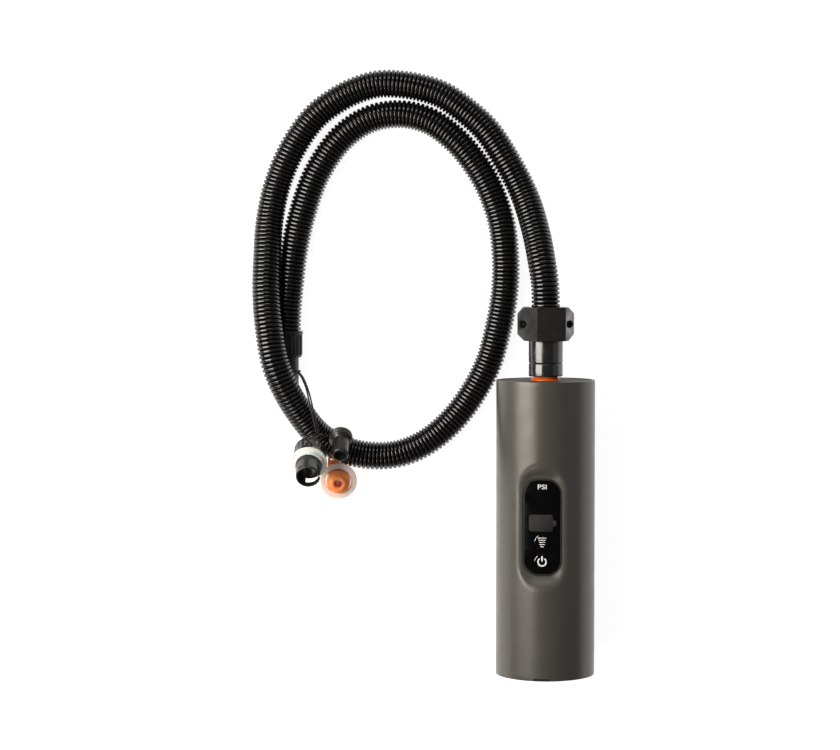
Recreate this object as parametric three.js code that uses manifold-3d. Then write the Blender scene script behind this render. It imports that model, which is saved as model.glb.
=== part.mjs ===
// Rechargeable air mattress pump with its hose and valve adapters.
// The pump lies on its side on the plane z = 0, display up, its axis along Y with the outlet towards
// +Y. The hose lies on the same plane in two loops. Units are millimetres.
import * as THREE from 'three';
import Module from 'manifold-3d';
import { mergeVertices } from 'three/addons/utils/BufferGeometryUtils.js';

// ---------- driving dimensions ----------
const gap = 0.3; // between pieces that touch
const bodyRadius = 42.5;
const bodyLength = 255;
const wall = 2.5;
const bodyRoll = THREE.MathUtils.degToRad(-6.9); // how far the display leans from straight up
const spoutLength = 21;
const baseY = -(bodyLength + spoutLength) / 2;
const topY = baseY + bodyLength;
const roundSides = 36;

const flatHeight = 36.5; // flat round the display, above the axis
const flatWidth = 44;
const flatLength = 90;
const flatCorner = 15;
const flatRamp = 7; // slope from the flat up to the round of the body
const panelY = -6.5;
const panelWidth = 30.4;
const panelLength = 80;
const panelCorner = 12;
const panelTop = flatHeight + 0.4;
const panelThick = 1.8;
const gasketWidth = 1.1;
const buttonRadius = 6.7;
const buttonHoleRadius = 7;
const powerButtonY = -36;
const levelButtonY = -19.2;

const spoutRadius = 10.2;
const spoutBore = 8;
const spoutBaseRadius = 12.7;
const couplingRadius = 14.8;
const couplingGap = 3; // outlet that shows between the top cap and the coupling
const couplingRingLength = 11.2;
const couplingEndY = topY + 33.5;
const collarEndY = topY + 62.6;
const collarCorner = 25; // circumradius of the six-sided clamp collar
const collarTurn = THREE.MathUtils.degToRad(-20);
const collarChamfer = 6;
const clampScrewX = 20.3;

const hoseRadius = 11.8;
const hoseBore = 9.8;
const hoseSides = 8;
const hoseSteps = 44;
const hoseRoute = [
  [0, 151, 42.5], [0, 166, 42.5], [0, 181, 42.5], [-0.7, 200, 41.5], [-3, 216.5, 38.5],
  [-8, 244, 29], [-17.5, 275.5, 19.5], [-33.5, 307, 16], [-51, 333, 13.5], [-70.5, 350.5, 12.3],
  [-89.5, 363, 12], [-107.5, 369, 12], [-126.5, 372, 12], [-144.5, 372, 12], [-163, 367, 12],
  [-181.5, 357.5, 12], [-200, 343, 12], [-219, 316, 12], [-232, 285.5, 13], [-238.5, 254.5, 17],
  [-240.5, 223, 24], [-241, 192, 31], [-238.5, 161.5, 38], [-233, 130.5, 41.5], [-224.5, 109.5, 39],
  [-212.5, 88.5, 31], [-195.5, 67, 22], [-172, 53.5, 14.5], [-146.5, 49, 12], [-124, 51.5, 12],
  [-102, 61.5, 12], [-82, 78, 12], [-64.5, 100, 12], [-49, 129, 12], [-40, 160.5, 12],
  [-34.5, 192, 12], [-33.9, 223, 12], [-38, 254.5, 12], [-49.5, 285.5, 12], [-64, 308.5, 12],
  [-79.5, 325.5, 12], [-100, 340, 12], [-124.5, 346, 12], [-151, 342, 12], [-175.5, 326, 12],
  [-197.5, 295, 12], [-210.5, 259.5, 12], [-217.5, 228.5, 12], [-221.5, 197, 12.6],
  [-223.5, 174.5, 13.6], [-224, 158.5, 14], [-224, 151.5, 14],
];

const endAxisX = -224; // axis of the fitting on the hose's free end, which points along -Y
const endAxisZ = 14;
const cuffRadius = 13.9;
const cuffStartY = 158;
const cuffEndY = 135;
const nozzleRadius = 10.3;
const nozzleEndY = 111;
const lanyardRadius = 0.8;
const loopY = 123;

const cellRadius = 9.2;
const cellLength = 65;
const cellStartY = -65;
const cellPlaces = [[-9.6, -27.2], [9.6, -27.2], [-9.6, -7.7], [9.6, -7.7]];
const ductX = -28.5;
const ductRadius = 6;
const fanShaftRadius = 1.6;
const crankThrow = 3;
const crankY = 51;

// ---------- materials ----------
function material(color, roughness, metalness = 0, extra = {}) {
  return new THREE.MeshStandardMaterial({ color, roughness, metalness, ...extra });
}
const shellGrey = material(0x4b4844, 0.45, 0.2);
const black = material(0x0c0c0c, 0.3);
const blackSatin = material(0x1b1b1b, 0.5);
const orange = material(0xe8541c, 0.4);
const rubber = material(0x141414, 0.85);
const silicone = material(0xe6e2dc, 0.55, 0, { opacity: 0.85, transparent: true });
const steel = material(0x9a9a9a, 0.3, 1);
const board = material(0x1d4a30, 0.6);
const cellBlue = material(0x2a5f8f, 0.4);
const innerGrey = material(0x6b6b6b, 0.6);

// ---------- solids ----------
const wasm = await Module();
wasm.setup();

function toSolid(source) {
  const bare = source.clone();
  bare.deleteAttribute('normal');
  bare.deleteAttribute('uv');
  const merged = mergeVertices(bare, 1e-4);
  const index = merged.index.array;
  const kept = [];
  for (let i = 0; i < index.length; i += 3) {
    const [a, b, c] = [index[i], index[i + 1], index[i + 2]];
    if (a !== b && b !== c && a !== c) kept.push(a, b, c);
  }
  return new wasm.Manifold(new wasm.Mesh({
    numProp: 3,
    vertProperties: new Float32Array(merged.attributes.position.array),
    triVerts: new Uint32Array(kept),
  }));
}

function toGeometry(solid) {
  const mesh = solid.getMesh();
  const geometry = new THREE.BufferGeometry();
  geometry.setAttribute('position', new THREE.BufferAttribute(mesh.vertProperties, 3));
  geometry.setIndex(new THREE.BufferAttribute(mesh.triVerts, 1));
  return geometry;
}

// The first geometry joined with or cut by others, given as ['add' | 'subtract' | 'intersect', geometry].
function shaped(first, ...steps) {
  let solid = toSolid(first);
  for (const [action, geometry] of steps) {
    solid = solid[action](toSolid(geometry));
  }
  return toGeometry(solid);
}

// A profile of [radius, y] points turned about Y. It runs up the outside and down the inside.
function turned(profile, sides = 16) {
  const points = profile.map(([radius, y]) => new THREE.Vector2(radius, y));
  return new THREE.LatheGeometry(points, sides);
}

function rod(radius, y0, y1, sides = 32, x = 0, z = 0) {
  const geometry = turned([[0, y0], [radius, y0], [radius, y1], [0, y1]], sides);
  return geometry.translate(x, 0, z);
}

function ring(outer, inner, y0, y1, sides = 16) {
  return turned([[outer, y0], [outer, y1], [inner, y1], [inner, y0], [outer, y0]], sides);
}

function block(x0, x1, y0, y1, z0, z1) {
  const geometry = new THREE.BoxGeometry(x1 - x0, y1 - y0, z1 - z0);
  return geometry.translate((x0 + x1) / 2, (y0 + y1) / 2, (z0 + z1) / 2);
}

function upright(radius, x, y, z0, z1, sides = 24) {
  return rod(radius, z0, z1, sides).rotateX(Math.PI / 2).translate(x, y, 0);
}

function roundedShape(width, length, corner) {
  const shape = new THREE.Shape();
  const x = width / 2 - corner;
  const y = length / 2 - corner;
  const quarter = Math.PI / 2;
  const corners = [[x, -y, -1], [x, y, 0], [-x, y, 1], [-x, -y, 2]];
  for (const [cx, cy, turn] of corners) {
    shape.absarc(cx, cy, corner, turn * quarter, (turn + 1) * quarter, false);
  }
  shape.closePath();
  return shape;
}

// A flat plate with rounded corners, centred on the display, from z0 to z1 above the axis.
function panelPlate(width, length, corner, z0, z1) {
  const settings = { depth: z1 - z0, bevelEnabled: false, curveSegments: 4 };
  const plate = new THREE.ExtrudeGeometry(roundedShape(width, length, corner), settings);
  return plate.translate(0, panelY, z0);
}

function circleShape(radius, sides) {
  const shape = new THREE.Shape();
  for (let i = 0; i < sides; i += 1) {
    const angle = (i / sides) * 2 * Math.PI;
    const point = [radius * Math.cos(angle), radius * Math.sin(angle)];
    if (i === 0) shape.moveTo(...point);
    else shape.lineTo(...point);
  }
  shape.closePath();
  return shape;
}

function curveThrough(points) {
  const places = points.map((point) => new THREE.Vector3(...point));
  return new THREE.CatmullRomCurve3(places, false, 'centripetal');
}

function cord(points, radius, steps, sides = 8) {
  const settings = { steps, extrudePath: curveThrough(points), bevelEnabled: false };
  return new THREE.ExtrudeGeometry(circleShape(radius, sides), settings);
}

function piece(parent, name, geometry, look) {
  const mesh = new THREE.Mesh(geometry, look);
  mesh.name = name;
  parent.add(mesh);
  return mesh;
}

// ---------- pump body, on its own axis ----------
function outerShell() {
  const y0 = baseY + 0.8;
  const y1 = topY;
  const inner = bodyRadius - wall;
  const flatCut = new THREE.ExtrudeGeometry(
    roundedShape(flatWidth, flatLength, flatCorner),
    { depth: 10, bevelEnabled: true, bevelThickness: flatRamp, bevelSize: flatRamp,
      bevelSegments: 1, curveSegments: 4 },
  ).translate(0, panelY, flatHeight + flatRamp);
  const cavity = shaped(
    rod(inner, y0 - 1, y1 + 1, roundSides),
    ['subtract', panelPlate(60, flatLength + 18, 10, flatHeight - 2.8, inner + 1)],
  );
  const rebate = panelPlate(
    panelWidth + 2 * (gasketWidth + 2 * gap), panelLength + 2 * (gasketWidth + 2 * gap),
    panelCorner + gasketWidth + 2 * gap, panelTop - panelThick - gap, inner + 4,
  );
  const window = panelPlate(panelWidth - 4, panelLength - 4, panelCorner - 2, 20, inner + 4);
  return shaped(
    rod(bodyRadius, y0, y1, roundSides),
    ['subtract', flatCut],
    ['subtract', cavity],
    ['subtract', rebate],
    ['subtract', window],
    ['subtract', chargeRecess()],
    ['subtract', block(-6.9, 6.9, baseY, baseY + 2.6, inner - 1, bodyRadius + 1)],
  );
}

const chargeAngle = THREE.MathUtils.degToRad(112); // from the display, round the right-hand side
const chargeY = -80;
const flapWidth = 13;
const flapLength = 24;
const flapThick = 1.6;

// Turns a piece modelled on top of the axis round to the charging socket's side.
function toChargeSide(geometry) {
  return geometry.rotateY(chargeAngle);
}

function chargeRecess() {
  const seat = block(
    -flapWidth / 2 - gap, flapWidth / 2 + gap, chargeY - flapLength / 2 - gap,
    chargeY + flapLength / 2 + gap, bodyRadius - flapThick - 0.6, bodyRadius + 2,
  );
  const hole = block(-4.6, 4.6, chargeY - 7, chargeY + 5, bodyRadius - 6, bodyRadius);
  return toChargeSide(shaped(seat, ['add', hole]));
}

function chargeFlap() {
  const slab = block(
    -flapWidth / 2, flapWidth / 2, chargeY - flapLength / 2, chargeY + flapLength / 2,
    bodyRadius - flapThick - 0.2, bodyRadius - 0.2,
  );
  const plug = block(-3.6, 3.6, chargeY - 6, chargeY + 4, bodyRadius - 3.6, bodyRadius - 1);
  const trimmed = shaped(
    slab,
    ['add', plug],
    ['intersect', rod(bodyRadius, chargeY - 20, chargeY + 20, roundSides)],
  );
  return toChargeSide(trimmed);
}

function chargeSocket() {
  const body = block(-4.2, 4.2, chargeY - 6.6, chargeY + 4.6, bodyRadius - 13, bodyRadius - 4);
  const mouth = block(-3.2, 3.2, chargeY - 5.6, chargeY + 3.6, bodyRadius - 8, bodyRadius - 3);
  return toChargeSide(shaped(body, ['subtract', mouth]));
}

const capRadius = bodyRadius - wall - gap; // both end caps sit inside the shell's wall

function topCap() {
  return turned([
    [capRadius, topY - 0.9], [capRadius - 0.5, topY - 0.4], [spoutBaseRadius + 0.4, topY - 0.4],
    [spoutBaseRadius + 0.4, topY - 2.5], [36.7, topY - 2.5], [36.7, topY - 9],
    [capRadius, topY - 9], [capRadius, topY - 0.9],
  ], roundSides);
}

function outletSpout() {
  return turned([
    [15, topY - 6], [15, topY - 3], [spoutBaseRadius, topY - 3], [spoutBaseRadius, topY + 0.2],
    [11.4, topY + 0.8], [spoutRadius, topY + 2.2], [spoutRadius, topY + spoutLength - 1],
    [spoutRadius - 0.8, topY + spoutLength], [spoutBore, topY + spoutLength],
    [spoutBore, topY - 6], [15, topY - 6],
  ], 24);
}

const screwAngles = [90, 210, 330];
const screwCircle = 31;
const screwRadius = 1.4;

function screwPlace(degrees) {
  const angle = THREE.MathUtils.degToRad(degrees);
  return [screwCircle * Math.sin(angle), screwCircle * Math.cos(angle)];
}

function bottomCap() {
  const cuts = screwAngles.flatMap((degrees) => {
    const [x, z] = screwPlace(degrees);
    return [
      ['subtract', rod(3.3, baseY - 1, baseY + 3, 12, x, z)],
      ['subtract', rod(screwRadius + gap, baseY, baseY + 12, 12, x, z)],
    ];
  });
  const body = turned([
    [capRadius, baseY + 2], [capRadius, baseY + 10], [36.7, baseY + 10], [36.7, baseY + 5],
    [13, baseY + 5], [13, baseY + 0.8], [36.2, baseY + 0.8], [36.2, baseY + 2],
    [capRadius, baseY + 2],
  ], roundSides);
  return shaped(body, ...cuts);
}

function capScrew(degrees) {
  const [x, z] = screwPlace(degrees);
  const socket = rod(1.3, baseY, baseY + 2.2, 6, x, z);
  const head = rod(3, baseY + 1.1, baseY + 2.7, 12, x, z);
  const shank = rod(screwRadius, baseY + 2, baseY + 16, 12, x, z);
  return shaped(head, ['add', shank], ['subtract', socket]);
}

function inletCollar() {
  return turned([
    [12.7, baseY + 0.4], [12.7, baseY + 5.3], [15, baseY + 5.3], [15, baseY + 7.5],
    [12.7, baseY + 7.5], [12.7, baseY + 14], [10.7, baseY + 14], [10.7, baseY + 0.4],
    [12.7, baseY + 0.4],
  ], 20);
}

function displayPanel() {
  const z0 = panelTop - panelThick;
  return shaped(
    panelPlate(panelWidth, panelLength, panelCorner, z0, panelTop),
    ['subtract', upright(buttonHoleRadius, 0, powerButtonY, z0 - 1, panelTop + 1, 20)],
    ['subtract', upright(buttonHoleRadius, 0, levelButtonY, z0 - 1, panelTop + 1, 20)],
  );
}

function panelGasket() {
  const inside = 2 * gap;
  const outside = 2 * (gasketWidth + gap);
  const z0 = panelTop - panelThick;
  return shaped(
    panelPlate(panelWidth + outside, panelLength + outside, panelCorner + outside / 2,
      z0, flatHeight - 0.2),
    ['subtract', panelPlate(panelWidth + inside, panelLength + inside, panelCorner + inside / 2,
      z0 - 1, panelTop)],
  );
}

function button(y) {
  const skirtTop = panelTop - panelThick - gap;
  const cap = upright(buttonRadius, 0, y, skirtTop - 0.5, panelTop, 20);
  const skirt = upright(buttonRadius + 1, 0, y, skirtTop - 1, skirtTop, 20);
  const stem = upright(1.5, 0, y, skirtTop - 1.7, skirtTop - 0.9, 12);
  return shaped(cap, ['add', skirt], ['add', stem]);
}

const boardTop = 29.6;
const buttonTravel = 0.4;

function keySwitch(y) {
  const plungerTop = panelTop - panelThick - gap - 1.7 - buttonTravel - 0.1;
  const can = block(-3, 3, y - 3, y + 3, boardTop + gap, plungerTop - 0.6);
  return shaped(can, ['add', upright(1.7, 0, y, plungerTop - 1, plungerTop, 12)]);
}

function controlBoard() {
  const plate = panelPlate(30, 84, 3, boardTop - 1.6, boardTop);
  const chip = block(-5, 5, -12, -4, boardTop - 3.2, boardTop - 1.5);
  const sensor = block(-6, 2, 24, 31, boardTop - 5, boardTop - 1.5);
  const port = rod(1.3, 26, 36, 12, -2, boardTop - 3.4);
  return shaped(plate, ['add', chip], ['add', sensor], ['add', port]);
}

function displayModule() {
  return block(-12, 12, -11, 24, boardTop + gap, panelTop - panelThick - gap);
}

function battery(place) {
  const [x, z] = place;
  const can = rod(cellRadius, cellStartY, cellStartY + cellLength - 1.2, 24, x, z);
  const tip = rod(3, cellStartY + cellLength - 2, cellStartY + cellLength, 12, x, z);
  return shaped(can, ['add', tip]);
}

function cellHolder(y0, y1) {
  const plate = shaped(
    rod(38.5, y0, y1, 24),
    ['intersect', block(-19.8, 19.8, y0 - 1, y1 + 1, -38, 6)],
  );
  const pockets = cellPlaces.map(([x, z]) => [
    'subtract', rod(cellRadius + gap, cellStartY - gap, cellStartY + cellLength + gap, 24, x, z),
  ]);
  return shaped(plate, ...pockets);
}

const fanY0 = baseY + 17;
const fanY1 = baseY + 42;

function fanCover() {
  const cuts = screwAngles.map((degrees) => {
    const [x, z] = screwPlace(degrees);
    return ['subtract', rod(screwRadius + gap, fanY0 - 4, fanY0, 12, x, z)];
  });
  return shaped(ring(36, 11.5, fanY0 - 2.4, fanY0 - gap, 24), ...cuts);
}

function fanHousing() {
  const cup = turned([
    [36, fanY0], [36, fanY1], [5, fanY1], [5, fanY1 - 2], [34, fanY1 - 2], [34, fanY0], [36, fanY0],
  ], 24);
  const bosses = screwAngles.flatMap((degrees) => {
    const [x, z] = screwPlace(degrees);
    return [
      ['add', rod(4, fanY0, fanY1 - 1, 12, x, z)],
      ['subtract', rod(screwRadius + gap, fanY0 - 1, fanY0 + 10, 12, x, z)],
    ];
  });
  const outlet = rod(ductRadius - 1.4, fanY1 - 4, fanY1 + 2, 24, ductX, 0);
  return shaped(cup, ...bosses, ['subtract', outlet]);
}

function fanImpeller() {
  const y0 = fanY0 + 3;
  const y1 = fanY1 - 5;
  let wheel = toSolid(ring(25.5, fanShaftRadius + gap, y1 - 2, y1, 24));
  wheel = wheel.add(toSolid(ring(4.5, fanShaftRadius + gap, y0, y1, 24)));
  const bladeCount = 7;
  for (let i = 0; i < bladeCount; i += 1) {
    const blade = new THREE.Shape();
    blade.absarc(-2, 17, 17, 1.5 * Math.PI, 1.86 * Math.PI, false);
    blade.absarc(-2, 17, 18.2, 1.86 * Math.PI, 1.5 * Math.PI, true);
    blade.closePath();
    const sheet = new THREE.ExtrudeGeometry(blade, { depth: y1 - y0 - 1, bevelEnabled: false, curveSegments: 3 });
    sheet.rotateX(-Math.PI / 2).translate(5, y0, 0);
    sheet.rotateY((i / bladeCount) * 2 * Math.PI);
    wheel = wheel.add(toSolid(sheet));
  }
  const trimmed = wheel.intersect(toSolid(ring(25.5, fanShaftRadius + gap, y0, y1, 24)));
  return toGeometry(trimmed);
}

function fanShaft() {
  return rod(fanShaftRadius, fanY0 + 2, fanY1 + 16, 16);
}

function fanMotor() {
  const y0 = fanY1 + gap;
  const y1 = y0 + 26;
  const bore = fanShaftRadius + gap;
  return turned([
    [4.6, y0 - 2], [4.6, y0], [18, y0], [18, y1 - 1], [17, y1], [0, y1], [0, fanY1 + 17],
    [bore, fanY1 + 17], [bore, y0 - 2], [4.6, y0 - 2],
  ], 20);
}

function airDuct() {
  return ring(ductRadius, ductRadius - 1.4, fanY1 + gap, topY - 31.3, 24).translate(ductX, 0, 0);
}

function outletManifold() {
  const y0 = topY - 31;
  const y1 = topY - 13;
  const drum = turned([
    [0, y0], [35, y0], [35, y1], [7.6, y1], [7.6, topY - 3], [6, topY - 3], [6, y1 - 2.5],
    [32.5, y1 - 2.5], [32.5, y0 + 2.5], [0, y0 + 2.5],
  ], 24);
  const ductHole = rod(ductRadius - 1.4, y0 - 1, y0 + 4, 24, ductX, 0);
  const pressureHole = rod(2, y0 - 1, y0 + 4, 12, 25, 0);
  return shaped(drum, ['subtract', ductHole], ['subtract', pressureHole]);
}

const compressorMotorY0 = 6;
const compressorMotorY1 = 40;
const crankShaftRadius = 2;

function compressorMotor() {
  const bore = crankShaftRadius + gap;
  const y0 = compressorMotorY0;
  const y1 = compressorMotorY1;
  return turned([
    [0, y0], [13, y0], [14, y0 + 1], [14, y1], [bore, y1], [bore, y1 - 8], [0, y1 - 8],
  ], 20);
}

const cylinderX0 = 15.4;
const cylinderX1 = 27.4;
const cylinderBore = 15.2;
const cylinderRadius = 17.5;

// A piece modelled along Y at the origin, laid along X at the crank's height.
function alongX(geometry) {
  return geometry.rotateZ(-Math.PI / 2).translate(0, crankY, 0);
}

function compressorHousing() {
  const frame = block(-13, cylinderX0 + 2, compressorMotorY1 + gap, 61, -15, 15);
  const hollow = block(-10, cylinderX0 + 3, compressorMotorY1 + 3, 58, -12.4, 12.4);
  const cylinder = alongX(ring(cylinderRadius, cylinderBore, cylinderX0, cylinderX1, 20));
  const bore = alongX(rod(cylinderBore, cylinderX0, cylinderX1 + 1, 20));
  return shaped(
    frame,
    ['subtract', hollow],
    ['add', cylinder],
    ['subtract', bore],
    ['subtract', rod(3.5, compressorMotorY1 - 1, compressorMotorY1 + 5, 16)],
    ['subtract', block(-7, 7, 55, 63, -8, 8)],
  );
}

function crankDisc() {
  const disc = rod(8.6, 44, 47, 20);
  const shaft = rod(crankShaftRadius, 34, 45, 12);
  const pin = rod(crankShaftRadius, 46, 54.6, 12, -crankThrow, 0);
  return shaped(disc, ['add', shaft], ['add', pin]);
}

function pistonRod() {
  const eye = ring(5, crankShaftRadius + gap, crankY - 3, crankY + 3, 24).translate(-crankThrow, 0, 0);
  const arm = block(1.4, 17, crankY - 2.2, crankY + 2.2, -2.2, 2.2);
  const head = alongX(rod(11.4, 16, 19.4, 20));
  const clear = rod(crankShaftRadius + gap, crankY - 4, crankY + 4, 24, -crankThrow, 0);
  return shaped(eye, ['add', arm], ['add', head], ['subtract', clear]);
}

function pistonSeal() {
  return alongX(turned([[0, 19.7], [11.4, 19.7], [12, 21.6], [11.2, 21.6], [10.6, 20.7], [0, 20.7]], 20));
}

function cylinderHead() {
  const x0 = cylinderX1 + gap;
  const lid = alongX(rod(cylinderRadius, x0, x0 + 4, 20));
  const outletBoss = block(x0 + 0.5, x0 + 3.5, crankY + 10, topY - 31 - gap, -3, 3);
  const port = rod(1.2, crankY + 8, topY - 30, 12, x0 + 2, 0);
  return shaped(lid, ['add', outletBoss], ['subtract', port]);
}

// ---------- hose coupling, on the outlet's axis ----------
function couplingRing() {
  const y0 = topY + couplingGap;
  const y1 = y0 + couplingRingLength;
  const bore = spoutRadius + gap;
  return turned([
    [couplingRadius - 0.6, y0], [couplingRadius, y0 + 0.6], [couplingRadius, y1 - 0.4],
    [couplingRadius - 0.4, y1], [bore, y1], [bore, y0 + 6.4], [bore + 1.6, y0 + 6.4],
    [bore + 1.6, y0 + 3.6], [bore, y0 + 3.6], [bore, y0], [couplingRadius - 0.6, y0],
  ], 24);
}

function couplingSeal() {
  const y0 = topY + couplingGap;
  const bore = spoutRadius + gap;
  return ring(bore + 1.4, bore - 0.1, y0 + 3.9, y0 + 6.1, 20);
}

function couplingSleeve() {
  const y0 = topY + couplingGap + couplingRingLength + gap;
  const spigot = hoseBore - 0.8;
  return turned([
    [couplingRadius - 0.4, y0], [couplingRadius, y0 + 0.4], [couplingRadius, couplingEndY],
    [spigot, couplingEndY], [spigot, collarEndY - 6], [spigot - 1.6, collarEndY - 6],
    [spigot - 1.6, topY + spoutLength + 2], [spoutRadius + gap, topY + spoutLength + 1],
    [spoutRadius + gap, y0], [couplingRadius - 0.4, y0],
  ], 24);
}

function collarBlock() {
  const y0 = couplingEndY + gap;
  const hexagon = new THREE.CylinderGeometry(collarCorner, collarCorner, collarEndY - y0, 6);
  hexagon.rotateY(collarTurn).translate(0, (y0 + collarEndY) / 2, 0);
  const side = collarCorner;
  const top = collarCorner - collarChamfer;
  const outline = new THREE.Shape();
  outline.moveTo(-top, y0);
  outline.lineTo(top, y0);
  outline.lineTo(side, y0 + collarChamfer);
  outline.lineTo(side, collarEndY - collarChamfer);
  outline.lineTo(top, collarEndY);
  outline.lineTo(-top, collarEndY);
  outline.lineTo(-side, collarEndY - collarChamfer);
  outline.lineTo(-side, y0 + collarChamfer);
  outline.closePath();
  const depth = 3 * collarCorner;
  const cutter = new THREE.ExtrudeGeometry(outline, { depth, bevelEnabled: false });
  return shaped(
    hexagon,
    ['intersect', cutter.translate(0, 0, -depth / 2)],
    ['subtract', rod(hoseRadius + gap, y0 - 1, collarEndY + 1, 24)],
  );
}

const clampY = (couplingEndY + collarEndY) / 2;

function collarHalf(side) {
  const reach = 2 * collarCorner;
  const [z0, z1] = side > 0 ? [gap / 2, reach] : [-reach, -gap / 2];
  const steps = [['intersect', block(-reach, reach, couplingEndY, collarEndY + 1, z0, z1)]];
  for (const x of [-clampScrewX, clampScrewX]) {
    steps.push(['subtract', upright(1.5 + gap, x, clampY, -5.4, 5, 16)]);
    steps.push(['subtract', upright(3.3, x, clampY, 3, reach, 24)]);
  }
  return shaped(collarBlock(), ...steps);
}

function clampScrew(x) {
  return shaped(
    upright(3, x, clampY, 3.3, 5.6, 24),
    ['add', upright(1.5, x, clampY, -5, 4, 12)],
    ['subtract', upright(1.4, x, clampY, 4.4, 6.5, 6)],
  );
}

// ---------- hose and the fitting on its free end ----------
function hoseTube() {
  const section = circleShape(hoseRadius, hoseSides);
  section.holes.push(circleShape(hoseBore, hoseSides));
  return new THREE.ExtrudeGeometry(section, {
    steps: hoseSteps, extrudePath: curveThrough(hoseRoute), bevelEnabled: false,
  });
}

function onEndAxis(geometry) {
  return geometry.translate(endAxisX, 0, endAxisZ);
}

function endCuff() {
  return onEndAxis(turned([
    [nozzleRadius + gap, cuffEndY], [cuffRadius - 1.6, cuffEndY], [cuffRadius - 0.4, cuffEndY + 1.6],
    [cuffRadius - 0.4, cuffStartY - 3], [cuffRadius, cuffStartY - 3], [cuffRadius, cuffStartY],
    [hoseRadius + 2 * gap, cuffStartY], [hoseRadius + 2 * gap, cuffEndY + 16],
    [nozzleRadius + gap, cuffEndY + 16], [nozzleRadius + gap, cuffEndY],
  ], 20));
}

function endNozzle() {
  return onEndAxis(turned([
    [nozzleRadius - 0.6, nozzleEndY], [nozzleRadius, nozzleEndY + 0.8],
    [nozzleRadius, cuffEndY + 15.7], [8.2, cuffEndY + 15.7], [8.2, nozzleEndY],
    [nozzleRadius - 0.6, nozzleEndY],
  ], 20));
}

// ---------- lanyard ----------
const beadPlace = [-195.6, 68.6, 40.4];

function lanyardLoop() {
  const loop = new THREE.TorusGeometry(nozzleRadius + 0.4 + lanyardRadius, lanyardRadius, 6, 20);
  return onEndAxis(loop.rotateX(Math.PI / 2).translate(0, loopY, 0));
}

function lanyardBead() {
  return new THREE.TorusGeometry(3.3, 1, 6, 12).rotateX(Math.PI / 2)
    .rotateZ(THREE.MathUtils.degToRad(14)).translate(...beadPlace);
}

const orangeCordRoute = [
  [-215.9, 123.3, 23.7], [-212.2, 120.6, 27.4], [-207, 111, 35.5], [-204, 100.5, 42.2],
  [-201.6, 90.5, 44.2], [-198.8, 78.2, 43.2], [-196.5, 68.8, 41.1], [-194.6, 64.2, 41],
  [-190.6, 57.4, 40.4], [-186.2, 50.8, 37.8], [-184.7, 48.9, 35.2],
];
const steppedCordRoute = [
  [-213.6, 122.8, 21.3], [-209.6, 118.2, 26], [-205, 108.6, 34], [-202, 99.5, 41.2],
  [-199.7, 89.7, 43], [-197, 78, 41.8], [-194.7, 68.5, 40.1], [-192.8, 66.6, 39.2],
  [-190.4, 67.4, 38.2], [-188.4, 69.2, 36.8],
];
const bayonetCordRoute = [
  [-200.4, 69.2, 42], [-201.6, 69.6, 44], [-202.4, 69.1, 55.5], [-203, 67.2, 66.5],
];

// ---------- valve adapters ----------
// Each adapter is modelled with its axis along Y, its valve end at +Y, then leaned and put in place.
function placeAdapter(parent, place, lean) {
  const group = new THREE.Group();
  group.position.set(...place);
  group.rotation.set(Math.PI / 2 + THREE.MathUtils.degToRad(lean), 0, 0);
  parent.add(group);
  return group;
}

function bayonetBody() {
  const body = turned([
    [11, 0], [12.6, 0.6], [13.6, 3], [13.6, 12.6], [12, 13.1], [12, 15], [15, 15.5], [15, 20],
    [10.5, 20], [10.5, 43.5], [9, 43.5], [9, 0], [11, 0],
  ], 20);
  const entry = block(6, 11, 33, 45, -1.5, 3);
  const catchSlot = block(-2.5, 11, 30, 38, -1.5, 12);
  const eyelet = shaped(
    block(-2.6, 2.6, 15.6, 18, -19.6, -12.6),
    ['subtract', rod(1.3, 14, 20, 12, 0, -17.2)],
    ['subtract', rod(14.4, 14, 20, 20)],
  );
  return shaped(body, ['subtract', entry], ['subtract', catchSlot], ['add', eyelet]);
}

function bayonetGasket() {
  return turned([
    [15.6, 20.3], [15.6, 22.8], [12.5, 23.2], [12.5, 26], [10.8, 26], [10.8, 20.3], [15.6, 20.3],
  ], 24);
}

function steppedBody() {
  return turned([
    [8.6, 0], [10.2, 1], [10.2, 6.8], [7.3, 9.2], [7.3, 26], [5.4, 26], [5.4, 0], [8.6, 0],
  ], 20);
}

const tabReach = 23; // from the adapter's axis to the tip of its lanyard tab
const tabTurn = 16;
const tabHeight = 26.6;

function orangeBody() {
  const body = turned([
    [8, 0], [9.4, 0.6], [9.4, 24], [10.4, 25.4], [10.4, 33.2], [9.4, 34.8], [6.4, 35.6],
    [6.4, 40], [3.6, 40], [3.6, 0], [8, 0],
  ], 20);
  const outline = new THREE.Shape();
  outline.moveTo(7.5, 8);
  outline.lineTo(3, tabReach - 1.6);
  outline.lineTo(1.6, tabReach);
  outline.lineTo(-1.6, tabReach);
  outline.lineTo(-3, tabReach - 1.6);
  outline.lineTo(-7.5, 8);
  outline.closePath();
  const plate = new THREE.ExtrudeGeometry(outline, { depth: 1.8, bevelEnabled: false });
  plate.rotateX(-Math.PI / 2).translate(0, tabHeight, 0);
  const [low, high] = [tabHeight - 2, tabHeight + 3];
  const tab = shaped(
    plate,
    ['subtract', rod(1.5, low, high, 16, 0, 3 - tabReach)],
    ['subtract', rod(9, low, high, 20)],
  );
  tab.rotateY(THREE.MathUtils.degToRad(tabTurn));
  return shaped(body, ['add', tab]);
}

function orangeGasket() {
  return ring(16, 10.9, 28.8, 31.4, 24);
}

// ---------- assembly ----------
const model = new THREE.Group();

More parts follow.
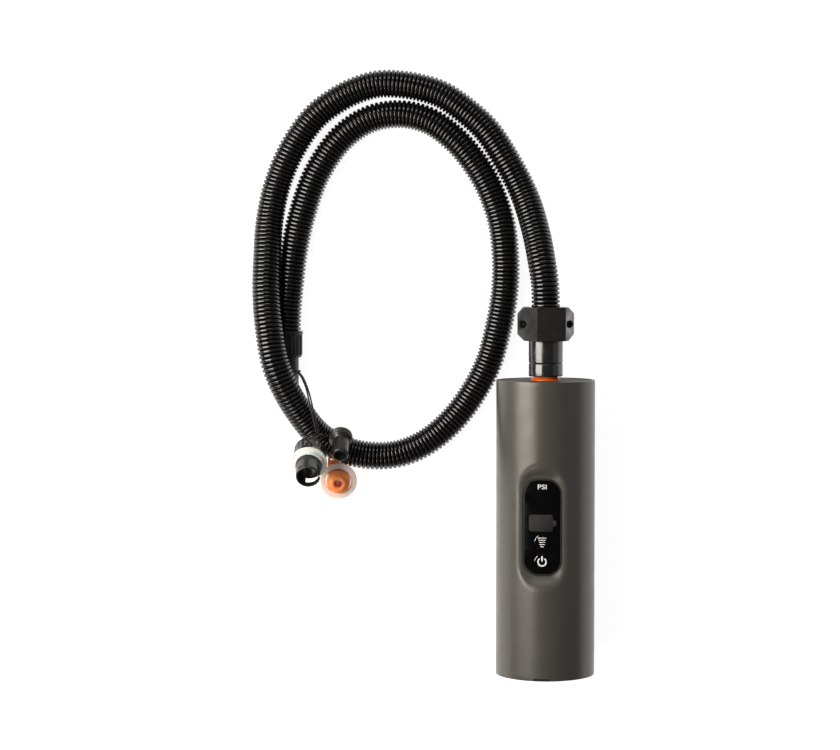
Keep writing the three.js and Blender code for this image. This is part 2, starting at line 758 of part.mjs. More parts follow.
const pump = new THREE.Group();
pump.position.z = bodyRadius;
pump.rotation.y = bodyRoll;
model.add(pump);
piece(pump, 'outer_shell', outerShell(), shellGrey);
piece(pump, 'top_cap', topCap(), shellGrey);
piece(pump, 'bottom_cap', bottomCap(), shellGrey);
piece(pump, 'foot_ring', ring(39.4, 36.5, baseY, baseY + 1.7, 24), rubber);
piece(pump, 'outlet_spout', outletSpout(), orange);
piece(pump, 'inlet_collar', inletCollar(), orange);
screwAngles.forEach((degrees, i) => piece(pump, `cap_screw_${i + 1}`, capScrew(degrees), steel));
piece(pump, 'display_panel', displayPanel(), black);
piece(pump, 'panel_gasket', panelGasket(), rubber);
piece(pump, 'power_button', button(powerButtonY), black);
piece(pump, 'level_button', button(levelButtonY), black);
piece(pump, 'power_switch', keySwitch(powerButtonY), steel);
piece(pump, 'level_switch', keySwitch(levelButtonY), steel);
piece(pump, 'display_module', displayModule(), blackSatin);
piece(pump, 'control_board', controlBoard(), board);
piece(pump, 'charge_flap', chargeFlap(), rubber);
piece(pump, 'charge_socket', chargeSocket(), blackSatin);
cellPlaces.forEach((place, i) => piece(pump, `battery_cell_${i + 1}`, battery(place), cellBlue));
piece(pump, 'cell_holder_lower', cellHolder(cellStartY - 2.5, cellStartY + 4), blackSatin);
piece(pump, 'cell_holder_upper', cellHolder(cellStartY + cellLength - 5, cellStartY + cellLength + 2.5), blackSatin);
piece(pump, 'fan_cover', fanCover(), blackSatin);
piece(pump, 'fan_housing', fanHousing(), innerGrey);
piece(pump, 'fan_impeller', fanImpeller(), innerGrey);
piece(pump, 'fan_shaft', fanShaft(), steel);
piece(pump, 'fan_motor', fanMotor(), steel);
piece(pump, 'air_duct', airDuct(), innerGrey);
piece(pump, 'outlet_manifold', outletManifold(), innerGrey);
piece(pump, 'compressor_motor', compressorMotor(), steel);
piece(pump, 'compressor_housing', compressorHousing(), innerGrey);
piece(pump, 'crank_disc', crankDisc(), steel);
piece(pump, 'piston_rod', pistonRod(), blackSatin);
piece(pump, 'piston_seal', pistonSeal(), rubber);
piece(pump, 'cylinder_head', cylinderHead(), innerGrey);

const coupling = new THREE.Group();
coupling.position.z = bodyRadius;
model.add(coupling);
piece(coupling, 'coupling_ring', couplingRing(), black);
piece(coupling, 'coupling_seal', couplingSeal(), rubber);
piece(coupling, 'coupling_sleeve', couplingSleeve(), black);
piece(coupling, 'collar_front', collarHalf(1), blackSatin);
piece(coupling, 'collar_back', collarHalf(-1), blackSatin);
piece(coupling, 'collar_screw_left', clampScrew(-clampScrewX), steel);
piece(coupling, 'collar_screw_right', clampScrew(clampScrewX), steel);

piece(model, 'hose', hoseTube(), black);
piece(model, 'end_cuff', endCuff(), blackSatin);
piece(model, 'end_nozzle', endNozzle(), blackSatin);
piece(model, 'lanyard_loop', lanyardLoop(), black);
piece(model, 'lanyard_bead', lanyardBead(), black);
piece(model, 'lanyard_to_orange', cord(orangeCordRoute, lanyardRadius, 14), black);
piece(model, 'lanyard_to_stepped', cord(steppedCordRoute, lanyardRadius, 14), black);
piece(model, 'lanyard_to_bayonet', cord(bayonetCordRoute, lanyardRadius, 4), black);

const bayonetAdapter = placeAdapter(model, [-203, 56.9, 41], 28);
piece(bayonetAdapter, 'bayonet_adapter', bayonetBody(), black);
piece(bayonetAdapter, 'bayonet_gasket', bayonetGasket(), silicone);
const steppedAdapter = placeAdapter(model, [-176.4, 69.4, 35], 40);
piece(steppedAdapter, 'stepped_adapter', steppedBody(), black);
const orangeAdapter = placeAdapter(model, [-178.8, 34.4, 2.2], 11);
piece(orangeAdapter, 'orange_adapter', orangeBody(), orange);
piece(orangeAdapter, 'orange_gasket', orangeGasket(), silicone);

export default model;
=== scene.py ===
# Looks for the air mattress pump: a fixed CAD frame with detailed pieces and procedural materials.
# Shapes are written in millimetres and scaled to metres where each mesh is made.
import math

import bmesh
import bpy
from mathutils import Matrix, Vector


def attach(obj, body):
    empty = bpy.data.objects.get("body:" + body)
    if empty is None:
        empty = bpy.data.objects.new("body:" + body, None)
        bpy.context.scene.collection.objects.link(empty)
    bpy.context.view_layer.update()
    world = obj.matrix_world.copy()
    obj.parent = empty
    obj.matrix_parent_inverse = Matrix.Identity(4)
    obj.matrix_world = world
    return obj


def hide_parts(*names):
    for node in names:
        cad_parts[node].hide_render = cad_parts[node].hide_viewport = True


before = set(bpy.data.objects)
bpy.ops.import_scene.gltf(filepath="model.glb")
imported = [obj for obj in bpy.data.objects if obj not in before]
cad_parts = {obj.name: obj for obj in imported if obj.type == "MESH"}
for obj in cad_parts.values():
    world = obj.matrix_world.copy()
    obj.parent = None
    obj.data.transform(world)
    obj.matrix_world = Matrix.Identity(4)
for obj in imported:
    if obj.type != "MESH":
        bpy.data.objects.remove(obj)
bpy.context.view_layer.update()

MM = 0.001
TAU = 2 * math.pi

# ---------- the pump's dimensions, as in the CAD ----------
BODY_RADIUS = 42.5
BODY_ROLL = math.radians(-6.9)
BASE_Y = -138.0
TOP_Y = 117.0
FLAT_HEIGHT = 36.5
FLAT_WIDTH = 44.0
FLAT_LENGTH = 90.0
FLAT_CORNER = 15.0
PANEL_Y = -6.5
PANEL_WIDTH = 30.4
PANEL_LENGTH = 80.0
PANEL_CORNER = 12.0
PANEL_TOP = 36.9
PANEL_THICK = 1.8
GASKET_WIDTH = 1.1
GAP = 0.3
POWER_Y = -36.0
LEVEL_Y = -19.2
HOSE_RADIUS = 12.3
END_X = -224.0
END_Z = 14.0

PUMP = Matrix.Translation((0, 0, BODY_RADIUS)) @ Matrix.Rotation(BODY_ROLL, 4, "Y")
COUPLING = Matrix.Translation((0, 0, BODY_RADIUS))
HOSE_END = Matrix.Translation((END_X, 0, END_Z))
WORLD = Matrix.Identity(4)


def adapter_place(place, lean):
    return Matrix.Translation(place) @ Matrix.Rotation(math.radians(90 + lean), 4, "X")


BAYONET = adapter_place((-203, 56.9, 41), 28)
STEPPED = adapter_place((-176.4, 69.4, 35), 40)
ORANGE = adapter_place((-178.8, 34.4, 2.2), 11)

# ---------- camera ----------
camera_data = bpy.data.cameras.new("camera")
camera_data.lens = 108.86
camera_data.sensor_width = 36
camera_data.clip_start = 0.05
camera = bpy.data.objects.new("camera", camera_data)
camera.location = (-0.1081, 0.2362, 2.2245)
camera.rotation_euler = (math.radians(-3.02), 0, 0)
bpy.context.collection.objects.link(camera)
bpy.context.scene.camera = camera


# ---------- materials ----------
def new_material(name, color, roughness, metallic=0.0, **sockets):
    """A Principled material with its constant values set on the shader's own sockets."""
    made = bpy.data.materials.new(name)
    made.use_nodes = True
    shader = made.node_tree.nodes["Principled BSDF"]
    shader.inputs["Base Color"].default_value = (*color, 1)
    shader.inputs["Roughness"].default_value = roughness
    shader.inputs["Metallic"].default_value = metallic
    for key, value in sockets.items():
        shader.inputs[key.replace("_", " ")].default_value = value
    return made


def add_noise(made, scale, detail=4.0, stretch=(1, 1, 1)):
    nodes, links = made.node_tree.nodes, made.node_tree.links
    place = nodes.new("ShaderNodeTexCoord")
    mapping = nodes.new("ShaderNodeMapping")
    mapping.inputs["Scale"].default_value = stretch
    noise = nodes.new("ShaderNodeTexNoise")
    noise.inputs["Scale"].default_value = scale
    noise.inputs["Detail"].default_value = detail
    links.new(place.outputs["Object"], mapping.inputs["Vector"])
    links.new(mapping.outputs["Vector"], noise.inputs["Vector"])
    return noise


def vary_color(made, dark, light, scale, stretch=(1, 1, 1)):
    """Mottles the base colour between two tones."""
    nodes, links = made.node_tree.nodes, made.node_tree.links
    noise = add_noise(made, scale, 5.0, stretch)
    ramp = nodes.new("ShaderNodeValToRGB")
    ramp.color_ramp.elements[0].position = 0.35
    ramp.color_ramp.elements[1].position = 0.65
    ramp.color_ramp.elements[0].color = (*dark, 1)
    ramp.color_ramp.elements[1].color = (*light, 1)
    links.new(noise.outputs["Fac"], ramp.inputs["Fac"])
    links.new(ramp.outputs["Color"], nodes["Principled BSDF"].inputs["Base Color"])


def vary_roughness(made, low, high, scale, stretch=(1, 1, 1)):
    nodes, links = made.node_tree.nodes, made.node_tree.links
    noise = add_noise(made, scale, 6.0, stretch)
    spread = nodes.new("ShaderNodeMapRange")
    spread.inputs["From Min"].default_value = 0.3
    spread.inputs["From Max"].default_value = 0.7
    spread.inputs["To Min"].default_value = low
    spread.inputs["To Max"].default_value = high
    links.new(noise.outputs["Fac"], spread.inputs["Value"])
    links.new(spread.outputs["Result"], nodes["Principled BSDF"].inputs["Roughness"])


def add_grain(made, scale, distance, strength=1.0, stretch=(1, 1, 1)):
    """Fine surface relief. The distance is in metres."""
    nodes, links = made.node_tree.nodes, made.node_tree.links
    noise = add_noise(made, scale, 3.0, stretch)
    bump = nodes.new("ShaderNodeBump")
    bump.inputs["Distance"].default_value = distance
    bump.inputs["Strength"].default_value = strength
    links.new(noise.outputs["Fac"], bump.inputs["Height"])
    links.new(bump.outputs["Normal"], nodes["Principled BSDF"].inputs["Normal"])


def satin_shell():
    made = new_material("satin_shell", (0.08, 0.074, 0.066), 0.34, 0.25)
    vary_color(made, (0.07, 0.064, 0.057), (0.082, 0.076, 0.067), 900)
    vary_roughness(made, 0.3, 0.38, 60)
    add_grain(made, 3200, 0.00003, 0.35)
    return made


def matt_shell():
    """The shell's colour on the end caps, with a coarser, duller surface."""
    made = new_material("matt_shell", (0.07, 0.064, 0.056), 0.6, 0.0, Specular_IOR_Level=0.1)
    vary_color(made, (0.06, 0.055, 0.048), (0.076, 0.07, 0.061), 700)
    vary_roughness(made, 0.56, 0.66, 60)
    add_grain(made, 2400, 0.00005, 0.5)
    return made


def plastic(name, dark, light, roughness, grain=0.00003, scale=2200, **sockets):
    made = new_material(name, light, roughness, 0.0, **sockets)
    vary_color(made, dark, light, 240)
    vary_roughness(made, roughness - 0.06, roughness + 0.08, 90)
    add_grain(made, scale, grain, 0.5)
    return made


def metal(name, color, roughness):
    made = new_material(name, color, roughness, 1.0)
    vary_color(made, tuple(0.85 * c for c in color), color, 300)
    vary_roughness(made, roughness - 0.06, roughness + 0.1, 120)
    add_grain(made, 500, 0.00002, 0.4, (1, 8, 1))
    return made


SHELL = satin_shell()
CAP = matt_shell()
MOULDED = plastic("moulded_black", (0.010, 0.010, 0.0095), (0.016, 0.016, 0.015), 0.42)
COLLAR = plastic("collar_black", (0.012, 0.012, 0.011), (0.017, 0.017, 0.016), 0.28, 0.00001)
GLOSS = plastic(
    "gloss_black", (0.010, 0.010, 0.009), (0.014, 0.014, 0.013), 0.17, 0.000003,
    Specular_IOR_Level=0.9,
)
PANEL_BLACK = plastic(
    "panel_black", (0.0004, 0.0004, 0.0005), (0.0008, 0.0008, 0.0009), 0.12, 0.000002,
    Specular_IOR_Level=0.3,
)
HOSE_BLACK = plastic(
    "hose_black", (0.002, 0.002, 0.002), (0.004, 0.004, 0.004), 0.19, 0.000001, 900,
    Specular_IOR_Level=0.75,
)
CORD_BLACK = plastic("cord_black", (0.006, 0.006, 0.006), (0.016, 0.016, 0.015), 0.6, 0.0001, 3000)
RUBBER = plastic("soft_rubber", (0.012, 0.012, 0.012), (0.02, 0.02, 0.02), 0.62, 0.00004)
ORANGE_PLASTIC = plastic(
    "orange_plastic", (0.88, 0.125, 0.018), (0.95, 0.16, 0.026), 0.3, 0.00002,
    Subsurface_Weight=0.2, Subsurface_Scale=0.004,
)
CLEAR_ORANGE = plastic(
    "clear_orange", (1.0, 0.28, 0.07), (1.0, 0.36, 0.1), 0.34, 0.00001,
    Subsurface_Weight=0.4, Subsurface_Scale=0.004,
)
SILICONE = plastic(
    "clear_silicone", (0.80, 0.78, 0.75), (0.88, 0.86, 0.83), 0.38, 0.00002,
    Subsurface_Weight=0.35, Subsurface_Scale=0.006, Transmission_Weight=0.1,
)
WARM_SILICONE = plastic(
    "warm_silicone", (1.0, 0.8, 0.73), (1.0, 0.86, 0.8), 0.42, 0.00001,
    Subsurface_Weight=0.3, Subsurface_Scale=0.003, Transmission_Weight=0.1,
)
STEEL = metal("steel", (0.5, 0.5, 0.49), 0.32)
# Painted shade: a near-black steel for the collar screws, standing in for the shade deep in their
# counterbores.
PAINTED_SHADE_STEEL = metal("painted_shade_steel", (0.03, 0.03, 0.03), 0.36)
# White for the printed marks; the same white also paints the highlights on the key rims.
PRINT_AND_GLINT_WHITE = plastic("print_and_painted_glint_white", (0.78, 0.78, 0.77), (0.86, 0.86, 0.85), 0.4, 0.000004)
PRINT_GREY = plastic("print_grey", (0.010, 0.010, 0.0095), (0.012, 0.012, 0.0115), 0.8, 0.000002)
BOARD = plastic("circuit_board", (0.012, 0.07, 0.03), (0.02, 0.11, 0.045), 0.45)
CELL = plastic("cell_sleeve", (0.03, 0.12, 0.24), (0.05, 0.17, 0.33), 0.3)
INNER = plastic("inner_plastic", (0.12, 0.12, 0.12), (0.17, 0.17, 0.17), 0.55)


# ---------- mesh helpers ----------
def finish_mesh(name, verts, faces, place, material, sharp=35):
    """Makes an object from points in millimetres. Faces that meet at under `sharp` degrees are smooth."""
    mesh = bpy.data.meshes.new(name)
    mesh.from_pydata([(place @ Vector(v)) * MM for v in verts], [], faces)
    made = bpy.data.objects.new(name, mesh)
    bpy.context.collection.objects.link(made)
    mesh.materials.append(material)
    tidy_normals(made, sharp)
    return made


def tidy_normals(made, sharp=35):
    mesh = made.data
    work = bmesh.new()
    work.from_mesh(mesh)
    bmesh.ops.recalc_face_normals(work, faces=work.faces)
    work.to_mesh(mesh)
    work.free()
    mesh.polygons.foreach_set("use_smooth", [True] * len(mesh.polygons))
    mesh.set_sharp_from_angle(angle=math.radians(sharp))
    mesh.update()


def rounded_corner(before, corner, after, radius, steps):
    """Points that round one corner of an outline."""
    a, b = (before - corner), (after - corner)
    reach = min(radius, 0.45 * a.length, 0.45 * b.length)
    if reach < 1e-4 or a.angle(b, math.pi) > math.radians(172):
        return [corner]
    start, end = corner + a.normalized() * reach, corner + b.normalized() * reach
    points = []
    for i in range(steps + 1):
        t = i / steps
        points.append(start * (1 - t) ** 2 + corner * 2 * t * (1 - t) + end * t ** 2)
    return points


def softened(outline, radius, steps=3):
    """A closed outline with its corners rounded."""
    points = [Vector(p) for p in outline]
    made = []
    for i, corner in enumerate(points):
        before, after = points[i - 1], points[(i + 1) % len(points)]
        made += rounded_corner(before, corner, after, radius, steps)
    return made


def lathe(name, outline, place, material, sides=96, soft=0.35, shape=None, sharp=50):
    """Turns a closed outline of (radius, y) about the Y axis.

    shape(radius, y, angle) can alter the radius.
    """
    ring = softened(outline, soft)
    verts, faces = [], []
    for i in range(sides):
        angle = TAU * i / sides
        for radius, y in ring:
            reach = shape(radius, y, angle) if shape else radius
            verts.append((reach * math.sin(angle), y, reach * math.cos(angle)))
    count = len(ring)
    for i in range(sides):
        here, there = i * count, ((i + 1) % sides) * count
        for j in range(count):
            k = (j + 1) % count
            faces.append((here + j, here + k, there + k, there + j))
    return finish_mesh(name, verts, faces, place, material, sharp)


def rounded_rect(width, length, corner, steps=10, cx=0.0, cy=0.0):
    """The outline of a rounded rectangle, anticlockwise."""
    points = []
    x, y = width / 2 - corner, length / 2 - corner
    for px, py, turn in ((x, -y, -1), (x, y, 0), (-x, y, 1), (-x, -y, 2)):
        for i in range(steps + 1):
            angle = (turn + i / steps) * TAU / 4
            points.append((cx + px + corner * math.cos(angle), cy + py + corner * math.sin(angle)))
    return points


def circle(radius, steps=64, cx=0.0, cy=0.0):
    return [(cx + radius * math.cos(TAU * i / steps), cy + radius * math.sin(TAU * i / steps))
            for i in range(steps)]


def inset(outline, amount):
    """The outline moved inward, point by point along its corner bisectors."""
    points = [Vector(p) for p in outline]
    made = []
    for i, point in enumerate(points):
        a = (point - points[i - 1]).normalized()
        b = (points[(i + 1) % len(points)] - point).normalized()
        normal = Vector((-(a.y + b.y), a.x + b.x)).normalized()
        scale = 1 / max(0.5, normal.dot(Vector((-a.y, a.x))))
        made.append(point + normal * amount * scale)
    return made


def plate(name, outline, z0, z1, place, material, edge=0.25, steps=3, sharp=50):
    """A flat solid with rounded top and bottom edges, from z0 to z1."""
    levels = [(z0 + edge - edge * math.sin(TAU / 4 * (1 - i / steps)),
               edge - edge * math.cos(TAU / 4 * (1 - i / steps))) for i in range(steps + 1)]
    levels += [(z1 - edge + edge * math.sin(TAU / 4 * i / steps),
                edge - edge * math.cos(TAU / 4 * i / steps)) for i in range(steps + 1)]
    verts, faces = [], []
    for z, step_in in levels:
        verts += [(p[0], p[1], z) for p in inset(outline, step_in)]
    count = len(outline)
    for level in range(len(levels) - 1):
        for i in range(count):
            k = (i + 1) % count
            a, b = level * count, (level + 1) * count
            faces.append((a + i, a + k, b + k, b + i))
    faces.append(tuple(range(count))[::-1])
    last = (len(levels) - 1) * count
    faces.append(tuple(range(last, last + count)))
    return finish_mesh(name, verts, faces, place, material, sharp)


def box_solid(name, low, high, place, material):
    (x0, y0, z0), (x1, y1, z1) = low, high
    outline = [(x0, y0), (x1, y0), (x1, y1), (x0, y1)]
    verts = [(x, y, z) for z in (z0, z1) for x, y in outline]
    faces = [(3, 2, 1, 0), (4, 5, 6, 7)]
    faces += [(i, (i + 1) % 4, (i + 1) % 4 + 4, i + 4) for i in range(4)]
    return finish_mesh(name, verts, faces, place, material)


def boolean(made, others, operation="DIFFERENCE", sharp=35):
    """Cuts other solids from this one, or joins them to it, and removes them."""
    for other in others:
        step = made.modifiers.new("boolean", "BOOLEAN")
        step.operation = operation
        step.solver = "EXACT"
        step.object = other
    bpy.context.view_layer.update()
    graph = bpy.context.evaluated_depsgraph_get()
    mesh = bpy.data.meshes.new_from_object(made.evaluated_get(graph))
    made.modifiers.clear()
    old, made.data = made.data, mesh
    bpy.data.meshes.remove(old)
    for other in others:
        bpy.data.objects.remove(other)
    tidy_normals(made, sharp)
    return made


def refined(name, node, material, bevel=0.4, segments=3):
    """A copy of a CAD node with its flat faces merged and its edges rounded."""
    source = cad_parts[node]
    made = bpy.data.objects.new(name, source.data.copy())
    bpy.context.collection.objects.link(made)
    work = bmesh.new()
    work.from_mesh(made.data)
    bmesh.ops.remove_doubles(work, verts=work.verts, dist=1e-6)
    bmesh.ops.dissolve_limit(
        work, angle_limit=math.radians(1), verts=work.verts, edges=work.edges)
    work.to_mesh(made.data)
    work.free()
    step = made.modifiers.new("bevel", "BEVEL")
    step.width = bevel * MM
    step.segments = segments
    step.limit_method = "ANGLE"
    step.angle_limit = math.radians(30)
    bpy.context.view_layer.update()
    graph = bpy.context.evaluated_depsgraph_get()
    mesh = bpy.data.meshes.new_from_object(made.evaluated_get(graph))
    made.modifiers.clear()
    made.data = mesh
    mesh.materials.clear()
    mesh.materials.append(material)
    tidy_normals(made, 40)
    return made


def stands_for(made, body, slot, *nodes):
    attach(made, body)
    if nodes:
        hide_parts(*nodes)
    return made


# ---------- curves ----------
def spline_point(p0, p1, p2, p3, t):
    """A point between p1 and p2 on a centripetal Catmull-Rom curve."""
    d0 = max((p1 - p0).length ** 0.5, 1e-4)
    d1 = max((p2 - p1).length ** 0.5, 1e-4)
    d2 = max((p3 - p2).length ** 0.5, 1e-4)
    t1 = ((p1 - p0) / d0 - (p2 - p0) / (d0 + d1) + (p2 - p1) / d1) * d1
    t2 = ((p2 - p1) / d1 - (p3 - p1) / (d1 + d2) + (p3 - p2) / d2) * d1
    c2 = -3 * p1 + 3 * p2 - 2 * t1 - t2
    c3 = 2 * p1 - 2 * p2 + t1 + t2
    return p1 + t1 * t + c2 * t * t + c3 * t ** 3


def spline(route, per_span):
    points = [Vector(p) for p in route]
    points = [2 * points[0] - points[1]] + points + [2 * points[-1] - points[-2]]
    made = []
    for i in range(len(points) - 3):
        for j in range(per_span):
            made.append(spline_point(*points[i:i + 4], j / per_span))
    made.append(points[-2])
    return made


def frames_along(points):
    """(position, side, up, distance along) at each point, with no twist."""
    made, along = [], 0.0
    tangent = (points[1] - points[0]).normalized()
    side = tangent.orthogonal().normalized()
    for i, point in enumerate(points):
        nxt = points[min(i + 1, len(points) - 1)]
        before = points[max(i - 1, 0)]
        tangent = (nxt - before).normalized()
        side = (side - tangent * side.dot(tangent)).normalized()
        along += (point - before).length if i else 0.0
        made.append((point, side, tangent.cross(side), along))
    return made


def at_distance(frames, distance, hint):
    """The frame at a distance along the curve, starting the search at index hint."""
    i = hint
    while i < len(frames) - 2 and frames[i + 1][3] < distance:
        i += 1
    a, b = frames[i], frames[i + 1]
    t = min(1.0, max(0.0, (distance - a[3]) / max(b[3] - a[3], 1e-9)))
    return a[0].lerp(b[0], t), a[1].lerp(b[1], t).normalized(), a[2].lerp(b[2], t).normalized(), i


def tube(name, route, stations, inner, material, sides=28, per_span=24, sharp=60):
    """A tube along the route.

    stations is a list of (distance, radius), and inner is the bore's radius or None.
    """
    frames = frames_along(spline(route, per_span))
    verts, faces, hint = [], [], 0
    rings = [(d, r) for d, r in stations]
    if inner:
        bore = [stations[0][0] + (stations[-1][0] - stations[0][0]) * i / 160 for i in range(161)]
        rings += [(d, inner) for d in reversed(bore)]
    for n, (distance, radius) in enumerate(rings):
        if n == len(stations):
            hint = 0
        start = hint if n < len(stations) else 0
        point, side, up, hint = at_distance(frames, distance, start)
        for i in range(sides):
            angle = TAU * i / sides
            verts.append(point + side * (radius * math.cos(angle)) + up * (radius * math.sin(angle)))
    count = len(rings)
    last = count if inner else count - 1
    for n in range(last):
        a, b = n * sides, ((n + 1) % count) * sides
        for i in range(sides):
            k = (i + 1) % sides
            faces.append((a + i, a + k, b + k, b + i))
    if not inner:
        faces.append(tuple(range(sides))[::-1])
        faces.append(tuple(range((count - 1) * sides, count * sides)))
    return finish_mesh(name, verts, faces, WORLD, material, sharp), frames


# ---------- hose ----------
HOSE_ROUTE = [
    (0, 151, 42.5), (0, 166, 42.5), (0, 181, 42.5), (-0.7, 200, 41.5), (-3, 216.5, 38.5),
    (-8, 244, 29), (-17.5, 275.5, 19.5), (-33.5, 307, 16), (-51, 333, 13.5), (-70.5, 350.5, 12.3),
    (-89.5, 363, 12), (-107.5, 369, 12), (-126.5, 372, 12), (-144.5, 372, 12), (-163, 367, 12),
    (-181.5, 357.5, 12), (-200, 343, 12), (-219, 316, 12), (-232, 285.5, 13), (-238.5, 254.5, 17),
    (-240.5, 223, 24), (-241, 192, 31), (-238.5, 161.5, 38), (-233, 130.5, 41.5),
    (-224.5, 109.5, 39), (-212.5, 88.5, 31), (-195.5, 67, 22), (-172, 53.5, 14.5),
    (-146.5, 49, 12), (-124, 51.5, 12), (-102, 61.5, 12), (-82, 78, 12), (-64.5, 100, 12),
    (-49, 129, 12), (-40, 160.5, 12), (-34.5, 192, 12), (-33.9, 223, 12), (-38, 254.5, 12),
    (-49.5, 285.5, 12), (-64, 308.5, 12), (-79.5, 325.5, 12), (-100, 340, 12), (-124.5, 346, 12),
    (-151, 342, 12), (-175.5, 326, 12), (-197.5, 295, 12), (-210.5, 259.5, 12),
    (-217.5, 228.5, 12), (-221.5, 197, 12.6), (-223.5, 174.5, 13.6), (-224, 158.5, 14),
    (-224, 151.5, 14),
]
RIB_PITCH = 3.5
# One rib, as a share of the pitch and a radius: a sharp valley and a flat crest.
RIB = [
    (0.0, 10.0), (0.1, 11.0), (0.18, 11.8), (0.25, 12.2), (0.3, 12.3),
    (0.7, 12.3), (0.75, 12.2), (0.82, 11.8), (0.9, 11.0),
]

# The hose is lifted where its ribs would dip under the floor.
HOSE_ROUTE = [(x, y, max(z, HOSE_RADIUS)) for x, y, z in HOSE_ROUTE]


def hose_length():
    return frames_along(spline(HOSE_ROUTE, 24))[-1][3]


def corrugated_hose():
    length = hose_length()
    ribs = int(length / RIB_PITCH)
    pitch = length / ribs
    stations = [((n + part) * pitch, radius) for n in range(ribs) for part, radius in RIB]
    stations.append((length, RIB[0][1]))
    made, frames = tube("corrugated_hose", HOSE_ROUTE, stations, 9.6, HOSE_BLACK, 48)
    stands_for(made, "hose_set", "gloss_black", "hose")
    return made, [p * MM for p, _, _, _ in frames[::6]] + [frames[-1][0] * MM], length


hose, hose_path, hose_mm = corrugated_hose()

# ---------- lanyard ----------
LANYARD_RADIUS = 0.8
ORANGE_CORD = [
    (-215.9, 123.3, 23.7), (-212.2, 120.6, 27.4), (-207, 111, 35.5), (-204, 100.5, 42.2),
    (-201.6, 90.5, 44.2), (-198.8, 78.2, 43.2), (-196.5, 68.8, 41.1), (-194.6, 64.2, 41),
    (-190.6, 57.4, 40.4), (-186.2, 50.8, 37.8), (-184.7, 48.9, 35.2),
]
STEPPED_CORD = [
    (-213.6, 122.8, 21.3), (-209.6, 118.2, 26), (-205, 108.6, 34), (-202, 99.5, 41.2),
    (-199.7, 89.7, 43), (-197, 78, 41.8), (-194.7, 68.5, 40.1), (-192.8, 66.6, 39.2),
    (-190.4, 67.4, 38.2), (-188.4, 69.2, 36.8),
]
BAYONET_CORD = [(-200.4, 69.2, 42), (-201.6, 69.6, 44), (-202.4, 69.1, 55.5), (-203, 67.2, 66.5)]


def lanyard_cord(name, route, node):
    """A laid cord: two strands that show as a slow ripple along it."""
    length = frames_along(spline(route, 12))[-1][3]
    count = max(8, int(length / 0.45))
    stations = []
    for i in range(count + 1):
        ripple = 0.07 * math.sin(TAU * i / 4)
        stations.append((length * i / count, LANYARD_RADIUS - 0.07 + ripple))
    made, frames = tube(name, route, stations, None, CORD_BLACK, 14, 12)
    stands_for(made, "hose_set", "gloss_black", node)
    path = [p * MM for p, _, _, _ in frames[::4]]
    return made, path, length


orange_cord = lanyard_cord("cord_to_orange", ORANGE_CORD, "lanyard_to_orange")
stepped_cord = lanyard_cord("cord_to_stepped", STEPPED_CORD, "lanyard_to_stepped")
bayonet_cord = lanyard_cord("cord_to_bayonet", BAYONET_CORD, "lanyard_to_bayonet")


def closed_loop(name, place, radius, thick, material, around=72, sides=12, wobble=0.0, turns=3):
    """A ring of cord about the Y axis."""
    verts, faces = [], []
    for i in range(around):
        angle = TAU * i / around
        lift = wobble * math.sin(turns * angle)
        for j in range(sides):
            turn = TAU * j / sides
            reach = radius + thick * math.cos(turn)
            verts.append((reach * math.sin(angle), lift + thick * math.sin(turn), reach * math.cos(angle)))
    for i in range(around):
        a, b = i * sides, ((i + 1) % around) * sides
        for j in range(sides):
            k = (j + 1) % sides
            faces.append((a + j, a + k, b + k, b + j))
    return finish_mesh(name, verts, faces, place, material, 80)


nozzle_loop = closed_loop(
    "nozzle_loop", HOSE_END @ Matrix.Translation((0, 123, 0)), 11.5, LANYARD_RADIUS, CORD_BLACK)
stands_for(nozzle_loop, "hose_set", "gloss_black", "lanyard_loop")
KNOT = Matrix.Translation((-195.6, 68.6, 40.4)) @ Matrix.Rotation(math.radians(14), 4, "Z")
knot_ring = closed_loop("knot_ring", KNOT, 3.3, 1.0, CORD_BLACK, 48, 12, 0.25, 3)
stands_for(knot_ring, "hose_set", "gloss_black", "lanyard_bead")


# ---------- fittings on the hose's free end ----------
def fluted(radius, y, angle):
    """Grip flutes round the middle of the cuff."""
    if radius < 12.9 or not 137.4 < y < 154.4:
        return radius
    wave = math.cos(20 * angle)
    return radius - 0.55 + 0.55 * max(-1.0, min(1.0, 1.8 * wave))


def cuff_outline():
    outer = [(13.9, 158), (13.9, 155), (13.2, 154.6)]
    outer += [(13.5, 154.2 - 1.1 * i) for i in range(16)]
    return outer + [(13.2, 137.2), (12.3, 135), (10.6, 135), (10.6, 151), (12.4, 151), (12.4, 158)]


cuff = lathe("fluted_cuff", cuff_outline(), HOSE_END, MOULDED, 240, 0.3, fluted)
stands_for(cuff, "hose_set", "black_plastic", "end_cuff")
nozzle = lathe("nozzle_tube", [
    (9.5, 111), (10.3, 111.9), (10.3, 114.4), (10.0, 114.8), (10.0, 115.6), (10.3, 116), (10.3, 131.6),
    (10.0, 132), (10.3, 132.4), (10.3, 150.7), (8.2, 150.7), (8.2, 111),
], HOSE_END, MOULDED, 96, 0.25)
stands_for(nozzle, "hose_set", "black_plastic", "end_nozzle")

